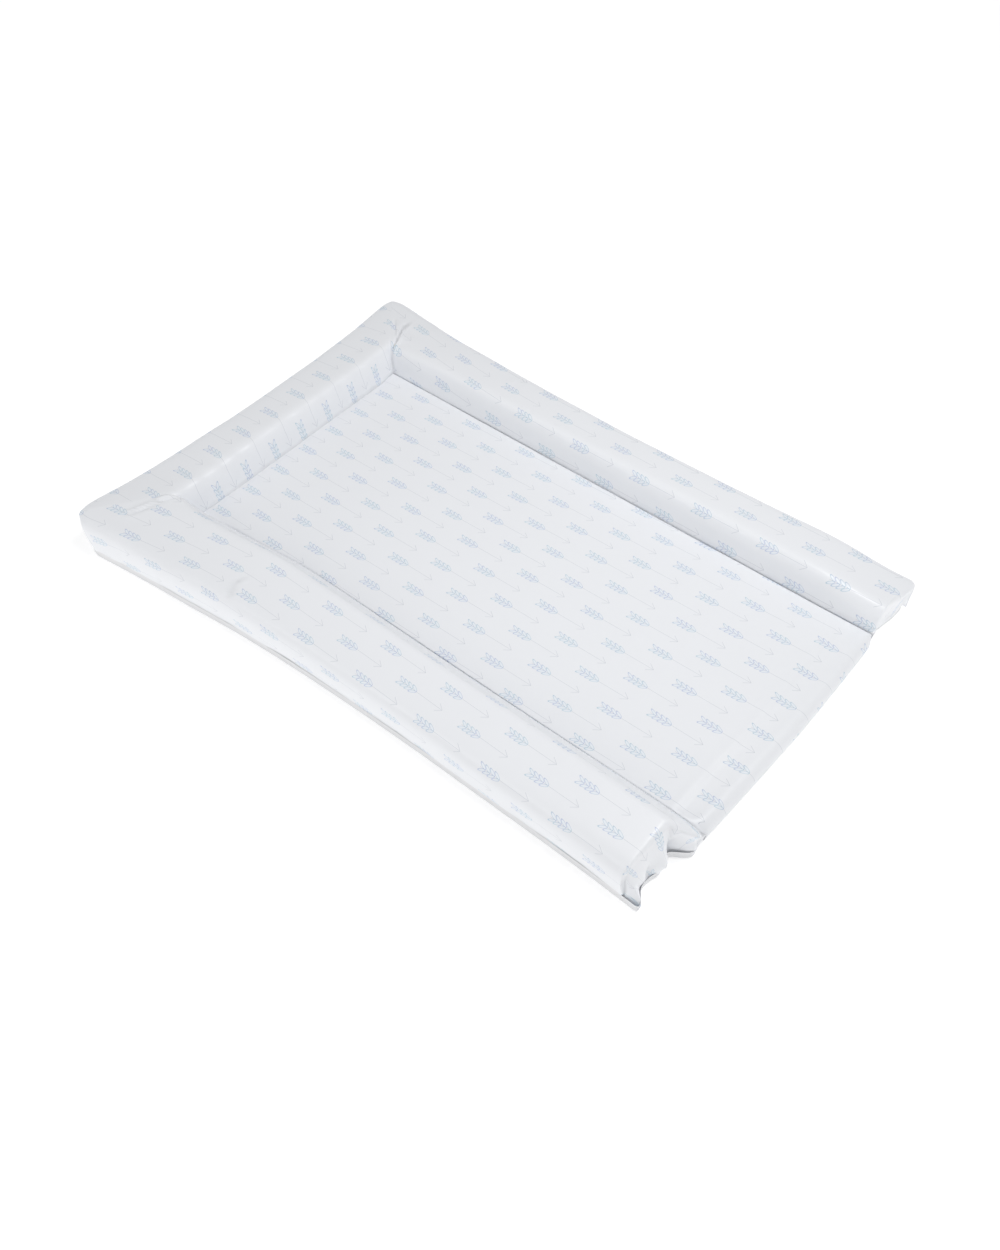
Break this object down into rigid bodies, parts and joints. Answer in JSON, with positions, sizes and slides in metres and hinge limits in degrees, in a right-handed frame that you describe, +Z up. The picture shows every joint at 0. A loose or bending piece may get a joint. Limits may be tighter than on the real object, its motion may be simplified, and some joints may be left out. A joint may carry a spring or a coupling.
{
  "type": "changing mat",
  "caption": "Padded baby changing mat: a flat centre panel with raised foam bolsters along both sides and the head, open at the foot, in wipe-clean welded film.",
  "frame": {"origin": "on the floor, under the middle of the mat", "axes": "+Z up, +Y towards the head end, -Y the open foot end, +X to the right seen from the foot"},
  "size_m": [0.5004, 0.7318, 0.06],
  "materials": {
    "printed_film": "soft vinyl film, white with a pale blue repeat print, satin gloss, lightly creased",
    "plain_film": "soft plain white vinyl film, satin gloss",
    "foam": "open-cell polyurethane foam, off-white, matt"
  },
  "bodies": {
    "root": {"top_film": "printed_film", "base_film": "plain_film", "base_foam": "foam", "left_bolster_foam": "foam", "right_bolster_foam": "foam", "head_bolster_foam": "foam"}
  },
  "joints": []
}
